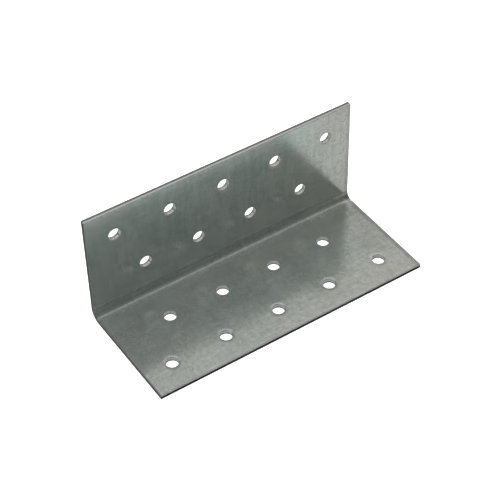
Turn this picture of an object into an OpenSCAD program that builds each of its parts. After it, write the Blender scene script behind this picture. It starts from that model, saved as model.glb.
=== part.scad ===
// Angle bracket: one strip of galvanised steel sheet, punched and folded at a right angle.
//
// X runs along the fold and Y from the front edge back to the upright leg.
// Z runs up, and the lying leg rests on Z = 0.
// The origin is under the middle of the bracket's box.
// Each leg has a far row of holes near its free edge, and a near row by the fold.
// The near row has one hole fewer and is set half a pitch along.

/* [Sheet] */

// Thickness of the sheet
sheet_thickness = 2; // [1:0.1:3]
// Height of the upright leg, from its underside to its top edge
leg_height = 50.4; // [44:0.2:90]
// Depth of the lying leg, from the back face to its front edge
leg_depth = 50.4; // [44:0.2:90]
// Radius of the fold on the inside of the angle
inside_fold_radius = 3; // [1:0.1:6]

/* [Hole pattern] */

// Holes in each far row
far_row_holes = 5; // [2:1:9]
// Distance from one hole of a row to the next
hole_pitch = 24; // [16:0.5:40]
// Distance from each end of the sheet to the first hole of the far rows
end_margin = 12; // [6:0.5:20]
// Distance from each free edge to its far row
far_row_margin = 11.65; // [6:0.05:15]
// Distance from the outside of the fold to each near row
near_row_distance = 18; // [14:0.25:22]

/* [Punched hole] */

// Diameter of the straight wall in the middle of each hole
hole_diameter = 5; // [3:0.1:8]
// Radius of the rounded rim that the punch draws in, on the inside of the angle
hole_rim_radius = 0.2; // [0.1:0.05:0.6]
// How far the torn wall opens out at the outside face, on each side
hole_breakout = 0.05; // [0.05:0.05:0.3]
// Share of the thickness where the wall is torn and opens out
breakout_share = 0.3; // [0.1:0.05:0.35]

/* [Sheared edge] */

// Radius that the shears leave along every cut edge, on the inside of the angle
edge_roll_radius = 0.2; // [0.1:0.05:0.8]

/* [Hidden] */

$fn = 96;

// How far a cutter stands clear of the face that it cuts
clear = 1;

zinc = [0.60, 0.62, 0.61];

outside_fold_radius = inside_fold_radius + sheet_thickness;
bracket_length = (far_row_holes - 1) * hole_pitch + 2 * end_margin;
near_row_holes = far_row_holes - 1;
end_x = bracket_length / 2;

// The upright leg's two faces, the lying leg's front edge, and the line that the fold turns about
back_y = leg_depth / 2;
upright_y = back_y - sheet_thickness;
front_y = -leg_depth / 2;
fold_y = back_y - outside_fold_radius;
fold_z = outside_fold_radius;

// Rows of the upright leg by height, and of the lying leg by Y
upright_far_z = leg_height - far_row_margin;
upright_near_z = near_row_distance;
lying_far_y = front_y + far_row_margin;
lying_near_y = back_y - near_row_distance;

hole_radius = hole_diameter / 2;
breakout_depth = sheet_thickness * breakout_share;

// Where hole number i of a row stands along the bracket, with the row's middle on X = 0
function hole_x(i, count) = (i - (count - 1) / 2) * hole_pitch;

// What rounding takes off a square corner at the origin, with the metal towards +X and +Y
module corner_waste(radius) {
  difference() {
    translate([-clear, -clear])
      square(radius + clear);
    translate([radius, radius])
      circle(radius);
  }
}

// Quarter ring that joins the two legs, about the origin
module fold_section() {
  difference() {
    intersection() {
      circle(outside_fold_radius);
      translate([0, -outside_fold_radius])
        square(outside_fold_radius);
    }
    circle(inside_fold_radius);
  }
}

// The folded sheet seen from its end, as Y across and Z up
module sheet_section() {
  difference() {
    union() {
      translate([upright_y, fold_z])
        square([sheet_thickness, leg_height - fold_z]);
      translate([front_y, 0])
        square([fold_y - front_y, sheet_thickness]);
      translate([fold_y, fold_z])
        fold_section();
    }
    translate([upright_y, leg_height])
      mirror([0, 1])
        corner_waste(edge_roll_radius);
    translate([front_y, sheet_thickness])
      mirror([0, 1])
        corner_waste(edge_roll_radius);
  }
}

// Cutter that rounds the inside arris of the +X end, along both legs and round the fold
module end_roll() {
  upright_run = leg_height - fold_z + clear;
  lying_run = fold_y - front_y + clear;
  translate([end_x, upright_y, fold_z])
    linear_extrude(upright_run)
      mirror([1, 0])
        corner_waste(edge_roll_radius);
  translate([end_x, fold_y, sheet_thickness])
    rotate([90, 0, 0])
      linear_extrude(lying_run)
        rotate(180)
          corner_waste(edge_roll_radius);
  translate([end_x, fold_y, fold_z])
    rotate([0, 90, 0])
      rotate_extrude(angle = 90)
        translate([inside_fold_radius, 0])
          mirror([0, 1])
            corner_waste(edge_roll_radius);
}

// Cutter for one punched hole, entering the inside face at Z = 0 and leaving at Z = -sheet_thickness
module punched_hole() {
  torn_top = breakout_depth - sheet_thickness;
  torn_bottom = -sheet_thickness - clear;
  torn_slope = hole_breakout / breakout_depth;
  torn_radius = hole_radius + (breakout_depth + clear) * torn_slope;
  rim_edge = hole_radius + hole_rim_radius;
  rotate_extrude() {
    // The straight wall, and the torn wall below it
    polygon([
      [0, torn_bottom],
      [torn_radius, torn_bottom],
      [hole_radius, torn_top],
      [hole_radius, clear],
      [0, clear]
    ]);
    // The drawn-in rim
    difference() {
      translate([0, -hole_rim_radius])
        square([rim_edge, hole_rim_radius + clear]);
      translate([rim_edge, -hole_rim_radius])
        circle(hole_rim_radius);
    }
  }
}

// One row of punched holes along X
module hole_row(count) {
  for (i = [0 : count - 1])
    translate([hole_x(i, count), 0, 0])
      punched_hole();
}

// Both rows of the lying leg, punched downwards
module lying_leg_holes() {
  translate([0, lying_far_y, sheet_thickness])
    hole_row(far_row_holes);
  translate([0, lying_near_y, sheet_thickness])
    hole_row(near_row_holes);
}

// Both rows of the upright leg, punched backwards
module upright_leg_holes() {
  translate([0, upright_y, upright_far_z])
    rotate([90, 0, 0])
      hole_row(far_row_holes);
  translate([0, upright_y, upright_near_z])
    rotate([90, 0, 0])
      hole_row(near_row_holes);
}

module angle_bracket() {
  color(zinc)
    difference() {
      rotate([90, 0, 90])
        linear_extrude(bracket_length, center = true)
          sheet_section();
      end_roll();
      mirror([1, 0, 0])
        end_roll();
      lying_leg_holes();
      upright_leg_holes();
    }
}

angle_bracket();
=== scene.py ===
# %% [markdown]
# # A galvanised angle bracket
#
# This lesson dresses one small part: a strip of zinc-coated steel sheet that was
# sheared to length, punched with two staggered rows of holes for each leg, and folded
# at a right angle. The exact solid is already there, so the lesson is about two
# things: a smooth mesh that is made in the same order as the real bracket, and a metal
# that reflects the way dull zinc does.
#
# The first cell loads the solid as a fixed frame, and keeps its box, which gives the
# mesh its sizes.

# %% The frame
import math

import bpy
from mathutils import Matrix, Vector


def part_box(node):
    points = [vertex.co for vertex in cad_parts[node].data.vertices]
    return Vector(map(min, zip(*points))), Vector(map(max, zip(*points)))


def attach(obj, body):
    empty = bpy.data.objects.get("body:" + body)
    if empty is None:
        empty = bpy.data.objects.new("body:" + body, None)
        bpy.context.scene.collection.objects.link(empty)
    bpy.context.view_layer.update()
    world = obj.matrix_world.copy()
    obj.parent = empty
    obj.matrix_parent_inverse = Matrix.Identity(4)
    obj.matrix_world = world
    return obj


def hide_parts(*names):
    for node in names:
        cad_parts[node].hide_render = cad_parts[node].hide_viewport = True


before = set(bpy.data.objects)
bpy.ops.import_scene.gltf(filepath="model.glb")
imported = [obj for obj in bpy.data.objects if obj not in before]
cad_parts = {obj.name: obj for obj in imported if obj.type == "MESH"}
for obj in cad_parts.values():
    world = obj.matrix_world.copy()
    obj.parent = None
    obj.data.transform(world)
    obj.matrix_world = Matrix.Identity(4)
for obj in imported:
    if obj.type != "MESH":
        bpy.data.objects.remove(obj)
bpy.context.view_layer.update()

scene = bpy.context.scene
low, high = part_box("angle_bracket")
for name, corner in (("lowest", low), ("highest", high)):
    print(name, "corner of the solid", [round(v * 1000, 2) for v in corner], "mm")

# %% [markdown]
# ## Sizes
#
# The mesh is worked out in millimetres, as a press shop would, and turned into metres
# by its last step. These are the sizes of the exact solid. The legs and the length
# come from the solid's own box, so the two can't drift apart.

# %% Sizes of the bracket
MM = 0.001
sheet_thickness = 2.0
bracket_length = (high.x - low.x) / MM
leg_depth = (high.y - low.y) / MM
leg_height = (high.z - low.z) / MM
inside_fold_radius = 3.0
hole_pitch = 24.0
far_row_holes = 5
far_row_margin = 11.65
near_row_distance = 18.0
hole_radius = 2.5
hole_rim_radius = 0.2
hole_breakout = 0.05
breakout_depth = 0.6
edge_roll_radius = 0.2

outside_fold_radius = inside_fold_radius + sheet_thickness
lying_flat = leg_depth - outside_fold_radius
upright_flat = leg_height - outside_fold_radius
fold_width = math.pi / 2 * (inside_fold_radius + sheet_thickness / 2)
blank_width = lying_flat + fold_width + upright_flat
print(f"blank {bracket_length:.1f} x {blank_width:.1f} x {sheet_thickness} mm")
print(f"fold zone {fold_width:.2f} mm wide")

# %% [markdown]
# ## Writing node trees as sums
#
# Blender's geometry and shader trees are easiest to read as formulas. A *wire* is one
# output socket. Adding or multiplying wires adds the Math nodes that do it, and
# `node` adds any other node from its type, its settings and what goes into its
# sockets. The same class serves both kinds of tree, so it is written once.

# %% Wires
class Wire:
    """One output socket of a node tree, with arithmetic."""

    def __init__(self, tree, socket=None):
        self.tree = tree
        self.socket = socket

    def node(self, kind, settings=None, sockets=None):
        """Add a node: its settings first, then a value or a wire for each socket."""
        made = self.tree.nodes.new(kind)
        for name, value in (settings or {}).items():
            if name == "stops":
                ramp = made.color_ramp
                while len(ramp.elements) < len(value):
                    ramp.elements.new(1.0)
                for element, (stop, colour) in zip(ramp.elements, value):
                    element.position = stop
                    element.color = (*colour, 1.0)
            else:
                setattr(made, name, value)
        for name, value in (sockets or {}).items():
            if isinstance(name, int):
                socket = made.inputs[name]
            else:
                shown = [s for s in made.inputs if s.enabled]
                socket = next(s for s in shown if name in (s.identifier, s.name))
            for one in value if isinstance(value, list) else [value]:
                if isinstance(one, Wire):
                    self.tree.links.new(one.socket, socket)
                else:
                    socket.default_value = one
        shown = [s for s in made.outputs if s.enabled]
        return Wire(self.tree, shown[0] if shown else None)

    def __getitem__(self, name):
        """Another output of the same node."""
        return Wire(self.tree, self.socket.node.outputs[name])

    def math(self, operation, *values):
        return self.node("ShaderNodeMath", {"operation": operation}, dict(enumerate(values)))

    def __add__(self, other):
        return self.math("ADD", self, other)

    def __radd__(self, other):
        return self.math("ADD", other, self)

    def __sub__(self, other):
        return self.math("SUBTRACT", self, other)

    def __rsub__(self, other):
        return self.math("SUBTRACT", other, self)

    def __mul__(self, other):
        return self.math("MULTIPLY", self, other)

    def __rmul__(self, other):
        return self.math("MULTIPLY", other, self)

    def __truediv__(self, other):
        return self.math("DIVIDE", self, other)

    def __rtruediv__(self, other):
        return self.math("DIVIDE", other, self)

    def __neg__(self):
        return self.math("MULTIPLY", self, -1.0)

    def __lt__(self, other):
        return self.math("LESS_THAN", self, other)

    def __gt__(self, other):
        return self.math("GREATER_THAN", self, other)

    def held(self, lowest, highest):
        """The value, kept between two limits."""
        return self.math("MINIMUM", self.math("MAXIMUM", self, lowest), highest)

    def rising(self, start, end):
        """0 before start, 1 after end, and a smooth rise between them."""
        return self.node("ShaderNodeMapRange", {"interpolation_type": "SMOOTHSTEP"}, {
            "Value": self, "From Min": start, "From Max": end,
        })

    def split(self):
        """The three parts of a vector."""
        parts = self.node("ShaderNodeSeparateXYZ", None, {0: self})
        return parts["X"], parts["Y"], parts["Z"]

    def joined(self, x, y, z):
        """A vector from three parts."""
        return self.node("ShaderNodeCombineXYZ", None, {0: x, 1: y, 2: z})


print("wires ready")

# %% [markdown]
# ## The sheet, made the way the press shop makes it
#
# A real bracket starts as a flat blank. The shears round the blank's upper arris a
# little, the punches draw in a rounded rim round each hole and tear the last third of
# the wall, and only then is the blank folded. One Geometry Nodes tree does the same
# steps in the same order. Its advantage over modelling the folded shape is that the
# holes are cut in a flat sheet, where a row of cutters is a simple line of copies,
# and that every point still knows where it was on the blank, which the metal's
# rolling marks need.
#
# The tree's sizes are named inputs. This cell makes the tree and gives each input.

# %% A tree with named sizes
press = bpy.data.node_groups.new("Shear, punch and fold", "GeometryNodeTree")
press_sizes = {
    "Thickness": sheet_thickness,
    "Length": bracket_length,
    "Leg depth": leg_depth,
    "Leg height": leg_height,
    "Inside fold radius": inside_fold_radius,
    "Hole pitch": hole_pitch,
    "Far row holes": far_row_holes,
    "Far row margin": far_row_margin,
    "Near row distance": near_row_distance,
    "Hole radius": hole_radius,
    "Hole rim radius": hole_rim_radius,
    "Hole breakout": hole_breakout,
    "Breakout depth": breakout_depth,
    "Edge roll radius": edge_roll_radius,
}
press.interface.new_socket("Geometry", in_out="OUTPUT", socket_type="NodeSocketGeometry")
press_inputs = {}
for name, value in press_sizes.items():
    kind = "NodeSocketInt" if isinstance(value, int) else "NodeSocketFloat"
    made = press.interface.new_socket(name, in_out="INPUT", socket_type=kind)
    press_inputs[name] = made.identifier
made = press.interface.new_socket("Finish", in_out="INPUT", socket_type="NodeSocketMaterial")
finish_input = made.identifier

bench = Wire(press)
given = bench.node("NodeGroupInput")
thickness = given["Thickness"]
fold_radius = given["Inside fold radius"]
outer_radius = fold_radius + thickness
lying = given["Leg depth"] - outer_radius
upright = given["Leg height"] - outer_radius
zone = (fold_radius + thickness / 2) * (math.pi / 2)
print(len(press_inputs), "sizes go into the tree")

# %% [markdown]
# ### The blank
#
# The blank is a box whose points are numbered in rows. A formula on the row numbers
# puts each one in place. Across the sheet, the first and last rows are the sheared
# edges and the rows between share out the fold zone, so the two legs stay single
# flat faces. Up through the thickness, the first step is the straight wall, and the
# others turn the quarter circle that the shears leave on the upper arris.

# %% The rolled-edge blank
FOLD_STEPS = 28
ROLL_STEPS = 8
rows_across = FOLD_STEPS + 3
rows_up = ROLL_STEPS + 2

box = bench.node("GeometryNodeMeshCube", None, {
    "Size": (1.0, 1.0, 1.0), "Vertices X": 2, "Vertices Y": rows_across, "Vertices Z": rows_up,
})
x, y, z = bench.node("GeometryNodeInputPosition").split()
across = (y + 0.5) * (rows_across - 1)
across = across.math("ROUND", across)
up = (z + 0.5) * (rows_up - 1)
up = up.math("ROUND", up)

roll = given["Edge roll radius"]
turn = ((up - 1) / ROLL_STEPS).held(0.0, 1.0) * (math.pi / 2)
inset = roll * (1 - turn.math("COSINE", turn))
blank_z = roll * (turn.math("SINE", turn) - 1) - (up < 0.5) * (thickness - roll)
blank_x = x * 2 * (given["Length"] / 2 - inset)
first = across < 0.5
last = across > rows_across - 1.5
fold_row = lying + zone * ((across - 1) / FOLD_STEPS)
blank_y = first * inset + last * (lying + zone + upright - inset) + (1 - first - last) * fold_row
blank = bench.node("GeometryNodeSetPosition", None, {
    "Geometry": box, "Position": bench.joined(blank_x, blank_y, blank_z),
})
print("blank with", rows_across, "rows across and", rows_up, "through the sheet")

# %% [markdown]
# ### The punch
#
# The punch is what is taken away at one hole, as a turned shape. It is a cylinder
# with a ring of points at each level, and the level number sets the ring's radius and
# height: below the sheet, at the top of the torn wall, at the top of the straight
# wall, and then ten rings round the drawn-in rim.

# %% The punch's shape
RIM_STEPS = 10
HOLE_SIDES = 72
levels = RIM_STEPS + 3
CLEAR = 1.0

slug = bench.node("GeometryNodeMeshCylinder", {"fill_type": "NGON"}, {
    "Vertices": HOLE_SIDES, "Side Segments": levels, "Radius": 1.0, "Depth": 1.0,
})
sx, sy, sz = bench.node("GeometryNodeInputPosition").split()
level = (sz + 0.5) * levels
level = level.math("ROUND", level)
rim = given["Hole rim radius"]
torn = given["Breakout depth"]
arc = ((level - 2) / RIM_STEPS).held(0.0, 1.0) * (math.pi / 2)
below = level < 0.5
torn_top = (level < 1.5) - below
above = level > levels - 0.5
torn_slope = given["Hole breakout"] / torn
opening = below * (torn + CLEAR) * torn_slope
ring_radius = given["Hole radius"] + rim * (1 - arc.math("COSINE", arc)) + opening
ring_z = (
    rim * (arc.math("SINE", arc) - 1)
    - torn_top * (thickness - torn - rim)
    - below * (thickness + CLEAR - rim)
    + above * CLEAR
)
punch = bench.node("GeometryNodeSetPosition", None, {
    "Geometry": slug, "Position": bench.joined(sx * ring_radius, sy * ring_radius, ring_z),
})
print("punch with", levels + 1, "rings of", HOLE_SIDES)

# %% [markdown]
# ### The four rows of holes
#
# Each leg has a far row near its free edge and a near row by the fold, and the near
# row has one hole fewer, so it falls half a pitch along. A row is a line of points,
# and the punch is copied onto all the points at once before one cut takes them out.

# %% Punching the rows
def row_of_places(count, across_blank):
    """Points along the blank, centred on its middle."""
    start = bench.joined((count - 1) * given["Hole pitch"] * -0.5, across_blank, 0.0)
    step = bench.joined(given["Hole pitch"], 0.0, 0.0)
    return bench.node("GeometryNodeMeshLine", {"mode": "OFFSET", "count_mode": "TOTAL"}, {
        "Count": count, "Start Location": start, "Offset": step,
    })


far_count = given["Far row holes"]
near_count = far_count - 1
blank_end = lying + zone + upright
heel_to_blank = lying + zone - outer_radius
places = bench.node("GeometryNodeJoinGeometry", None, {"Geometry": [
    row_of_places(far_count, given["Far row margin"]),
    row_of_places(near_count, given["Leg depth"] - given["Near row distance"]),
    row_of_places(near_count, heel_to_blank + given["Near row distance"]),
    row_of_places(far_count, blank_end - given["Far row margin"]),
]})
punches = bench.node("GeometryNodeInstanceOnPoints", None, {"Points": places, "Instance": punch})
punches = bench.node("GeometryNodeRealizeInstances", None, {"Geometry": punches})
punched = bench.node("GeometryNodeMeshBoolean", {"operation": "DIFFERENCE", "solver": "EXACT"}, {
    "Mesh 1": blank, "Mesh 2": punches,
})
print("rows of", far_row_holes, "and", far_row_holes - 1, "on each leg")

# %% [markdown]
# ### What the metal needs to know
#
# Before the fold, the sheet still lies flat, so it is easy to say what each face is.
# Five notes are kept on the mesh for the metal: the place on the blank, how deep a
# point lies in the sheet, whether a face was cut by the shears or by the punch, and
# how far it looks towards the fold. A wall within a millimetre of the blank's rim was
# cut by the shears, and any other wall by the punch.
#
# The edges between a flat face and a rounded one are marked as creases for shading
# only, which keeps the big flat faces free of false shading.

# %% Notes and creases
LEVEL_FACING = 0.9995
WALL_FACING = 0.3
RIM_REACH = 1.0
CREASE_ANGLE = math.radians(25)

bx, by, bz = bench.node("GeometryNodeInputPosition").split()
_, facing_across, facing_up = bench.node("GeometryNodeInputNormal").split()
facing = facing_up.math("ABSOLUTE", facing_up)
level_face = facing > LEVEL_FACING
part_of_sheet = level_face * (1 + (by > lying) + (by > lying + zone))
borders = bench.node("GeometryNodeMeshFaceSetBoundaries", None, {0: part_of_sheet})
sharp_turn = bench.node("GeometryNodeInputMeshEdgeAngle") > CREASE_ANGLE
creased = bench.node("FunctionNodeBooleanMath", {"operation": "OR"}, {0: borders, 1: sharp_turn})

noted = bench.node("GeometryNodeSetShadeSmooth", {"domain": "FACE"}, {
    "Geometry": punched, "Shade Smooth": True,
})
noted = bench.node("GeometryNodeSetShadeSmooth", {"domain": "EDGE"}, {
    "Geometry": noted, "Selection": creased, "Shade Smooth": False,
})
to_end = given["Length"] / 2 - bx.math("ABSOLUTE", bx)
to_side = by.math("MINIMUM", by, lying + zone + upright - by)
at_rim = to_end.math("MINIMUM", to_end, to_side) < RIM_REACH
wall = facing < WALL_FACING
to_fold = facing_across * (1 - 2 * (by > lying))
for name, kind, domain, value in (
    ("blank_place", "FLOAT_VECTOR", "POINT", bench.joined(bx, by, bz)),
    ("depth_in_sheet", "FLOAT", "POINT", -bz / thickness),
    ("sheared_face", "FLOAT", "FACE", wall * at_rim),
    ("punched_face", "FLOAT", "FACE", wall * (1 - at_rim)),
    ("looks_to_fold", "FLOAT", "FACE", to_fold),
):
    noted = bench.node("GeometryNodeStoreNamedAttribute", {"data_type": kind, "domain": domain}, {
        "Geometry": noted, "Name": name, "Value": value,
    })
print("notes: blank_place, depth_in_sheet, sheared_face, punched_face, looks_to_fold")

# %% [markdown]
# ### The fold
#
# Folding is one formula for every point. Up to the fold zone a point only slides
# into place. Inside the zone its distance along the blank becomes an angle about the
# fold's axis, and past the zone it carries on straight up. The fold's axis sits one
# outside radius in from the back face and up from the underside.

# %% Folding the blank
fx, fy, fz = bench.node("GeometryNodeInputPosition").split()
angle = ((fy - lying) / zone).held(0.0, 1.0) * (math.pi / 2)
radius = fold_radius - fz
before_fold = fy.math("MINIMUM", fy - lying, 0.0)
after_fold = fy.math("MAXIMUM", fy - lying - zone, 0.0)
axis_y = given["Leg depth"] / 2 - outer_radius
folded_y = axis_y + before_fold + radius * angle.math("SINE", angle)
folded_z = outer_radius + after_fold - radius * angle.math("COSINE", angle)
folded = bench.node("GeometryNodeSetPosition", None, {
    "Geometry": noted, "Position": bench.joined(fx * MM, folded_y * MM, folded_z * MM),
})
folded = bench.node("GeometryNodeRealizeInstances", None, {"Geometry": folded})
folded = bench.node("GeometryNodeSetMaterial", None, {
    "Geometry": folded, "Material": given["Finish"],
})
bench.node("NodeGroupOutput", None, {"Geometry": folded})
print("tree of", len(press.nodes), "nodes")

# %% [markdown]
# ## The zinc
#
# Dull zinc is mostly a mirror with a soft blur, and partly plain grey like chalk. The
# blur is what matters: where a face looks into the open it looks pale, and where it
# looks into the other leg it looks dark. That makes most of the pale and the dark
# parts of the bracket, with the edge of one leg drawn softly on the other. A few more
# are painted light and painted shade in the colour.
#
# Every mark is a noise on the place on the blank, so it runs round the fold as it does
# on the real one. The first cell reads the notes and makes a helper for such noises.

# %% Reading the notes
zinc = bpy.data.materials.new("dull_zinc")
zinc.use_nodes = True
zinc.node_tree.nodes.clear()
tree = Wire(zinc.node_tree)

place = tree.node("ShaderNodeAttribute", {"attribute_name": "blank_place"})["Vector"]
depth = tree.node("ShaderNodeAttribute", {"attribute_name": "depth_in_sheet"})["Fac"]
sheared = tree.node("ShaderNodeAttribute", {"attribute_name": "sheared_face"})["Fac"]
punched_wall = tree.node("ShaderNodeAttribute", {"attribute_name": "punched_face"})["Fac"]
looks_to_fold = tree.node("ShaderNodeAttribute", {"attribute_name": "looks_to_fold"})["Fac"]
along, across_blank, _ = place.split()


def noise(scale, detail=2.0, roughness=0.5, stretch=(1.0, 1.0, 1.0), shift=0.0):
    """Noise from 0 to 1 with `scale` bumps to the millimetre, drawn out by `stretch`."""
    where = tree.node("ShaderNodeMapping", {"vector_type": "POINT"}, {
        "Vector": place, "Location": (shift, shift, shift), "Scale": stretch,
    })
    return tree.node("ShaderNodeTexNoise", None, {
        "Vector": where, "Scale": scale, "Detail": detail, "Roughness": roughness,
    })["Fac"]


def mix(share, first, second):
    """One colour running into another as `share` goes from 0 to 1."""
    return tree.node("ShaderNodeMix", {"data_type": "RGBA"}, {
        "Factor": share, "A": first, "B": second,
    })


def size_of(value):
    """A value without its sign."""
    return value.math("ABSOLUTE", value)


print("five notes read")

# %% [markdown]
# ### The film from the bath
#
# Close up the zinc isn't even: a fine mottle from its crystals, softer clouds, faint
# streaks along and across the rolling direction, and a few pits and bright specks. The
# film came out cooler towards the upper left of the blank, in broad soft patches, and
# coarser towards the upper right. It is greener in two places: below most of the top
# edge and across the middle of the lying leg. Below the top edge it is also painted
# paler, a painted light.

# %% Marks in the film
mottle = noise(1.9, detail=2.0, roughness=0.6)
grains = noise(0.55, detail=2.0, roughness=0.55, shift=13.0)
clouds = noise(0.09, detail=3.0, shift=31.0)
streaks = noise(1.2, detail=3.0, stretch=(0.06, 1.0, 1.0), shift=57.0)
cross_streaks = noise(0.8, detail=2.0, stretch=(1.0, 0.05, 1.0), shift=83.0)
specks = noise(0.9, detail=1.0, shift=11.0).rising(0.68, 0.76)
pits = noise(1.3, detail=1.0, shift=71.0).rising(0.65, 0.73)
grain = noise(4.5, detail=2.0, roughness=0.6, shift=19.0)
coarser = (along * 0.6 + across_blank).rising(50.0, 100.0)

patches = noise(0.03, detail=2.0, shift=7.0) - 0.5
warmth = 0.5 + along * 0.005 - (across_blank - blank_width / 2) * 0.004 + patches * 1.2
not_at_right = 1 - along.rising(35.0, 50.0)
# Painted light with a green tint: the upright's upper band is made paler as well as greener.
top_tint_and_light = across_blank.rising(72.0, 88.0) * not_at_right
mid_leg = across_blank.rising(8.0, 22.0) * (1 - across_blank.rising(28.0, 38.0))
mid_leg = mid_leg * along.rising(-40.0, -10.0) * not_at_right
greener = top_tint_and_light * top_tint_and_light + mid_leg * 0.6

COOL_ZINC = (0.634, 0.706, 0.702, 1.0)
WARM_ZINC = (0.680, 0.704, 0.664, 1.0)
GREEN_ZINC = (0.616, 0.707, 0.686, 1.0)
film_hue = mix(warmth.held(0.0, 1.0), COOL_ZINC, WARM_ZINC)
film_hue = mix(greener, film_hue, GREEN_ZINC)
print("film with nine noises")

# %% [markdown]
# ### Painted shade and light in the fold and at the ends
#
# The inside of the fold is painted darker, centred on the upright's side: a painted
# shade. It is also made rougher there. Just beside it on the lying side the colour is a
# little paler, a painted light, and rougher too. The right end has a grey band of painted
# shade, and the left end a thin dark line of painted shade on its arris.

# %% Painted shade and light in the fold and at the ends
# Painted shade in the fold and painted light beside it; both also make the zinc rougher.
fold_shade_centre = lying_flat + fold_width * 0.75
from_fold_shade = size_of(across_blank - fold_shade_centre)
fold_shade_and_dulling = 1 - from_fold_shade.rising(fold_width * 0.2, fold_width * 0.5)
light_beside_fold = across_blank.rising(lying_flat - 4.0, lying_flat + 0.5)
light_beside_fold = light_beside_fold * (1 - across_blank.rising(lying_flat + 0.5, lying_flat + 1.5))

upright_half = across_blank.rising(blank_width * 0.55, blank_width * 0.75)
to_right_end = bracket_length / 2 - along
to_left_end = bracket_length / 2 + along
# Painted shade along the right end, and a dark line of painted shade on the left end's arris.
right_end_shade = (1 - to_right_end.rising(1.2, 2.4)) * (0.24 - 0.10 * upright_half)
left_end_shade = 1 - to_left_end.rising(0.15, 0.4)

tone = (
    1.0
    + (mottle - 0.5) * (0.70 + coarser * 0.60)
    + (grains - 0.5) * 0.44
    + (clouds - 0.5) * 0.26
    + (streaks - 0.5) * 0.30
    + (cross_streaks - 0.5) * (0.20 + upright_half * 0.22)
    + specks * 0.14
    - pits * (0.20 + coarser * 0.25)
    # Painted light below the top edge and beside the fold, painted shade in the fold and at both
    # ends:
    + top_tint_and_light * 0.11
    - fold_shade_and_dulling * 0.14
    + light_beside_fold * 0.10
    - right_end_shade
    - left_end_shade * 0.5
)
film_colour = tree.node("ShaderNodeVectorMath", {"operation": "SCALE"}, {
    "Vector": film_hue, "Scale": tone,
})
film_roughness = (
    0.19
    + (mottle - 0.5) * 0.06
    + (clouds - 0.5) * 0.08
    - specks * 0.05
    + fold_shade_and_dulling * 0.16
    + light_beside_fold * 0.10
)
# The band printed here is the painted shade in the fold.
print("film made, with a rubbed band", round(fold_width * 0.4, 1), "mm wide in the fold")

# %% [markdown]
# ### The cut edges
#
# A sheared face has two halves: bright where the blade slid, and dark where the metal
# tore. The front edge is near black from a quarter of its thickness down, the top edge
# dark grey from four tenths down, and both ends are grey and dark all over.

# %% Slit and chopped edges
FRONT_TEAR = 0.24
TOP_TEAR = 0.40
TEAR_BLUR = 0.14
AT_EDGE = 0.05
CHOPPED = (0.09, 0.091, 0.09, 1.0)

tear_line = depth + (noise(0.8, shift=5.0, stretch=(1.0, 1.0, 0.05)) - 0.5) * 0.16
front_tearing = tear_line.rising(FRONT_TEAR, FRONT_TEAR + TEAR_BLUR)
top_tearing = tear_line.rising(TOP_TEAR, TOP_TEAR + TEAR_BLUR)
at_top = across_blank > blank_width - AT_EDGE
at_front = across_blank < AT_EDGE
front_colour = mix(front_tearing, (0.63, 0.65, 0.635, 1.0), (0.04, 0.04, 0.04, 1.0))
top_colour = mix(top_tearing, (0.74, 0.76, 0.745, 1.0), (0.30, 0.305, 0.30, 1.0))
slit_colour = mix(at_top, front_colour, top_colour)
edge_colour = mix(at_top + at_front, CHOPPED, slit_colour)
edge_roughness = 0.28 + top_tearing * 0.3
print("front edge torn from", FRONT_TEAR, "of its thickness, top edge from", TOP_TEAR)

# %% [markdown]
# ### The holes
#
# The punch smears zinc down the wall in fine lines, and the last part of the wall is
# torn and darker. The smear is thick on the side nearer the fold. The side away from
# the fold is painted dark, a painted shade, so the lying leg shows only a faint image
# of the holes above it.
#
# The punch also draws the sheet down a little all round each hole. That is too
# shallow to be worth points, at 0.055 mm, but it bends the reflections, so it is a
# bump. Its height needs the distance to the nearest hole, and as the rows are evenly
# spaced, that is the distance along the row to the nearest whole number of pitches.

# %% Walls and the drawn-down sheet
rubbed = noise(2.2, detail=2.0, stretch=(1.0, 1.0, 0.05), shift=41.0)
wall_tearing = (depth + (rubbed - 0.5) * 0.2).rising(0.65, 0.8)
FAR_WALL_SHADE = (0.16, 0.16, 0.155, 1.0)
# The walls on the side of each hole away from the fold are painted dark: a painted shade.
far_side_shade = looks_to_fold.rising(0.1, 0.7)
smeared_colour = mix(wall_tearing, (0.86, 0.90, 0.93, 1.0), (0.25, 0.26, 0.27, 1.0))
wall_colour = mix(far_side_shade, smeared_colour, FAR_WALL_SHADE)
wall_roughness = 0.25 + (rubbed - 0.5) * 0.4 + wall_tearing * 0.1


def from_hole(row, count):
    """Distance in the sheet from the nearest of a row's holes."""
    turns = along / hole_pitch + (count - 1) % 2 / 2
    beside = (turns - turns.math("ROUND", turns)) * hole_pitch
    past_last = size_of(along) > count * hole_pitch / 2
    off_row = across_blank - row
    squares = beside * beside + off_row * off_row
    return squares.math("SQRT", squares) + past_last * hole_pitch


heel = lying_flat + fold_width - outside_fold_radius
to_hole = from_hole(far_row_margin, far_row_holes)
for row, count in (
    (leg_depth - near_row_distance, far_row_holes - 1),
    (heel + near_row_distance, far_row_holes - 1),
    (blank_width - far_row_margin, far_row_holes),
):
    to_hole = to_hole.math("MINIMUM", to_hole, from_hole(row, count))
DRAWN_WIDTH = 1.6
DRAWN_DEPTH = 0.055
dip = ((hole_radius + DRAWN_WIDTH - to_hole) / DRAWN_WIDTH).held(0.0, 1.0)
drawn_down = dip * dip * (depth < 0.5) * -DRAWN_DEPTH
print("sheet drawn down", DRAWN_DEPTH, "mm round each hole")

# %% [markdown]
# ### The metal put together
#
# Each face takes the colour and the roughness of its kind. The mottle, the grain and
# the streaks are also a very shallow relief, which breaks up the reflections. The
# relief is laid over the drawn-down sheet, so one bump feeds the other.

# %% The finished metal
RELIEF = 0.00003

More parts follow.
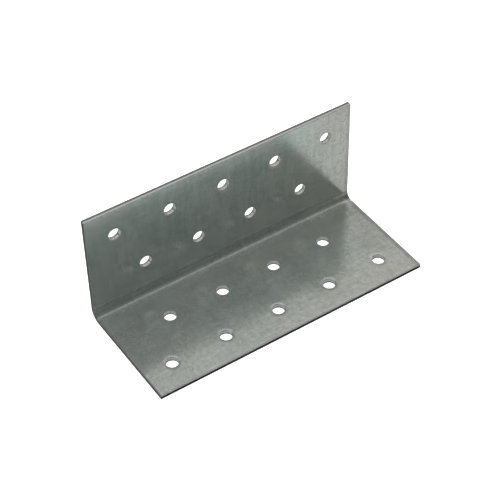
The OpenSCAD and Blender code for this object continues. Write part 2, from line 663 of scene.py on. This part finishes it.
colour = mix(punched_wall, mix(sheared, film_colour, edge_colour), wall_colour)
flat = 1 - sheared - punched_wall
roughness = film_roughness * flat + edge_roughness * sheared + wall_roughness * punched_wall
height = (mottle - 0.5) * 0.5 + (grain - 0.5) * 0.35 + (streaks - 0.5) * 0.2
dished = tree.node("ShaderNodeBump", None, {"Strength": 1.0, "Distance": MM, "Height": drawn_down})
bumps = tree.node("ShaderNodeBump", None, {
    "Strength": 0.1, "Distance": RELIEF, "Height": height, "Normal": dished,
})
metal = tree.node("ShaderNodeBsdfPrincipled", None, {
    "Base Color": colour, "Metallic": 0.80, "Roughness": roughness, "Normal": bumps,
})
tree.node("ShaderNodeOutputMaterial", None, {"Surface": metal})
print("zinc of", len(zinc.node_tree.nodes), "nodes")

# %% [markdown]
# ## Pressing the part
#
# The tree runs as a modifier on an empty mesh. Its result is copied out as a plain
# mesh, because what is handed on may not depend on a modifier, and the copy takes the
# place of the solid's own triangles.

# %% From tree to plain mesh
carrier = bpy.data.objects.new("blank", bpy.data.meshes.new("blank"))
scene.collection.objects.link(carrier)
modifier = carrier.modifiers.new("press", "NODES")
modifier.node_group = press
for name, value in press_sizes.items():
    modifier[press_inputs[name]] = value
modifier[finish_input] = zinc
bpy.context.view_layer.update()
depsgraph = bpy.context.evaluated_depsgraph_get()
pressed = bpy.data.meshes.new_from_object(carrier.evaluated_get(depsgraph))
carrier.modifiers.remove(modifier)
bpy.data.objects.remove(carrier)

bracket = bpy.data.objects.new("folded_bracket", pressed)
scene.collection.objects.link(bracket)
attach(bracket, "root")
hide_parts("angle_bracket")
triangles = sum(len(face.vertices) - 2 for face in pressed.polygons)
print("bracket of", len(pressed.vertices), "points and", triangles, "triangles")

# %% [markdown]
# ## Floor, light and camera
#
# The photograph is a cut-out on white. A pale floor that glows like a light table,
# and that bends up into a round wall far away, gives the same clean ground from any
# side. It is kept out of the metal's reflections, because a metal that mirrors pure
# white would burn out.

# %% The white ground
SIDES = 64
ground_profile = [(0.0, 0.0), (3.0, 0.0), (3.6, 0.25), (3.9, 0.8), (4.0, 1.6), (4.0, 4.0)]
ring_points = [(0.0, 0.0, 0.0)]
for out, height_up in ground_profile[1:]:
    for side in range(SIDES):
        turned = 2 * math.pi * side / SIDES
        ring_points.append((out * math.cos(turned), out * math.sin(turned), height_up))
ring_faces = [(0, 1 + side, 1 + (side + 1) % SIDES) for side in range(SIDES)]
for ring in range(len(ground_profile) - 2):
    inner = 1 + ring * SIDES
    outer = inner + SIDES
    for side in range(SIDES):
        after = (side + 1) % SIDES
        ring_faces.append((inner + side, outer + side, outer + after, inner + after))
floor_mesh = bpy.data.meshes.new("floor")
floor_mesh.from_pydata(ring_points, [], ring_faces)
floor = bpy.data.objects.new("floor", floor_mesh)
scene.collection.objects.link(floor)
paper = bpy.data.materials.new("light_table")
paper.use_nodes = True
paper_shader = paper.node_tree.nodes["Principled BSDF"]
paper_shader.inputs["Base Color"].default_value = (0.8, 0.8, 0.8, 1.0)
paper_shader.inputs["Roughness"].default_value = 0.9
paper_shader.inputs["Emission Color"].default_value = (1.0, 1.0, 1.0, 1.0)
paper_shader.inputs["Emission Strength"].default_value = 0.85
floor_mesh.materials.append(paper)
floor.visible_glossy = False
floor.visible_diffuse = False
floor.visible_shadow = False
print("floor", 2 * ground_profile[1][0], "m across")

# %% [markdown]
# What the metal mirrors instead is an ordinary pale table top, which the upright leg
# shows to the right of the lying leg's image. The camera doesn't see it. It is
# greyer under the bracket and behind it, where less light reaches a real table.

# %% The table that the metal mirrors
TABLE_Z = -0.0002
BEHIND, UNDER = 2, 4
outer_corners = [(-0.3, -0.12), (0.3, -0.12), (0.3, 0.3), (-0.3, 0.3)]
inner_corners = [(low.x, low.y), (high.x, low.y), (high.x, high.y), (low.x, high.y)]
table_points = [(*corner, TABLE_Z) for corner in outer_corners + inner_corners]
table_sides = [(side, (side + 1) % 4, 4 + (side + 1) % 4, 4 + side) for side in range(4)]
table_mesh = bpy.data.meshes.new("table")
table_mesh.from_pydata(table_points, [], [*table_sides, (4, 5, 6, 7)])
table = bpy.data.objects.new("table", table_mesh)
scene.collection.objects.link(table)
table_greys = {
    "table_top": (0.65, 0.64, 0.64, 1.0),
    "shaded_table_top": (0.45, 0.45, 0.46, 1.0),
}
for name, grey in table_greys.items():
    top = bpy.data.materials.new(name)
    top.use_nodes = True
    top_shader = top.node_tree.nodes["Principled BSDF"]
    top_shader.inputs["Base Color"].default_value = grey
    top_shader.inputs["Roughness"].default_value = 0.9
    table_mesh.materials.append(top)
for shaded in (BEHIND, UNDER):
    table_mesh.polygons[shaded].material_index = 1
table.visible_camera = False
print("table", [round(v, 2) for v in table.dimensions], "m")

# %% [markdown]
# The light is a dome that only changes from front to back, like long softboxes in a
# dim room. It is given in degrees, going up from the front, over the top and down at
# the back.
#
# - In front it is dim. That keeps the inside of the fold dark.
# - It grows from 70 degrees on, which draws the one thin light line in the fold.
# - The big softbox overhead ends sharply at 128 degrees. The lying leg mirrors that
#   end, and so its front is pale and its back is not.
# - After a dark gap there is a small strong softbox, low behind. Only the walls of
#   the holes catch it.

# %% The light dome
world = bpy.data.worlds.new("softboxes")
scene.world = world
world.use_nodes = True
world.node_tree.nodes.clear()
sky = Wire(world.node_tree)
side_way, deep_way, up_way = sky.node("ShaderNodeTexCoord")["Generated"].split()
round_angle = up_way.math("ARCTAN2", up_way, -deep_way)
round_share = round_angle / (2 * math.pi) + 0.5
dim_front = [(-180, 0.20), (-14, 0.10), (4, 0.05), (36, 0.055), (47, 0.07), (54, 0.08), (70, 0.14)]
softbox_overhead = [(84, 0.27), (95, 0.42), (112, 0.65), (127.1, 0.67)]
dark_gap = [(129.0, 0.10), (136, 0.10)]
softbox_behind = [(138.0, 1.10), (143, 1.00), (147, 0.25), (160, 0.14), (180, 0.20)]
dome_stops = dim_front + softbox_overhead + dark_gap + softbox_behind
WARM_LIGHT = (1.025, 1.0, 0.955)
ramp_stops = []
for angle, strength in dome_stops:
    ramp_stops.append(((angle + 180) / 360, [part * strength for part in WARM_LIGHT]))
dome = sky.node("ShaderNodeValToRGB", {"stops": ramp_stops}, {"Fac": round_share})
glow = sky.node("ShaderNodeBackground", None, {"Color": dome, "Strength": 1.0})
sky.node("ShaderNodeOutputWorld", None, {"Surface": glow})
scene.view_settings.view_transform = "Standard"
print("dome of", len(dome_stops), "steps round the bracket")

# %% [markdown]
# A soft lamp from straight above, tilted a little from the front, lights the chalky
# part of the metal, and the table. It stands for the rest of the studio's light. The
# metal doesn't mirror it, since the dome already is what the metal mirrors.

# %% The lamp overhead
overhead = bpy.data.lights.new("overhead", "SUN")
overhead.energy = 1.95
overhead.angle = math.radians(12)
overhead.color = (0.985, 1.0, 0.965)
overhead_lamp = bpy.data.objects.new("overhead", overhead)
scene.collection.objects.link(overhead_lamp)
overhead_lamp.location = (0.0, 0.0, 1.0)
overhead_lamp.rotation_euler.x = math.radians(8)
overhead_lamp.visible_glossy = False
print("lamp", round(math.degrees(overhead_lamp.rotation_euler.x)), "degrees off the vertical")

# %% [markdown]
# The camera's place, direction and lens were found from the photograph: the outline
# and all eighteen holes were measured, and a camera was fitted to them. The shift of
# half a pixel is the way from a pixel's corner to its middle.

# %% The camera
IMAGE = 500
FOCAL_PIXELS = 1534.69
SENSOR = 36.0
HALF_PIXEL = 0.5 / IMAGE
camera_place = (-0.230529, -0.349242, 0.427683)
right = Vector((0.829916, -0.557672, -0.015539))
down = Vector((-0.3973, -0.57124, -0.718219))
forward = Vector((0.391654, 0.602235, -0.695644))
camera_data = bpy.data.cameras.new("camera")
camera_data.sensor_width = SENSOR
camera_data.lens = FOCAL_PIXELS / IMAGE * SENSOR
camera_data.clip_start = 0.01
camera_data.shift_x = -HALF_PIXEL
camera_data.shift_y = HALF_PIXEL
camera = bpy.data.objects.new("camera", camera_data)
scene.collection.objects.link(camera)
camera_turn = Matrix((right, -down, -forward)).transposed().to_4x4()
camera.matrix_world = Matrix.Translation(camera_place) @ camera_turn
scene.camera = camera
print(f"lens {camera_data.lens:.1f} mm at {[round(v, 3) for v in camera.matrix_world.translation]}")

# %% A last update of the scene
bpy.context.view_layer.update()
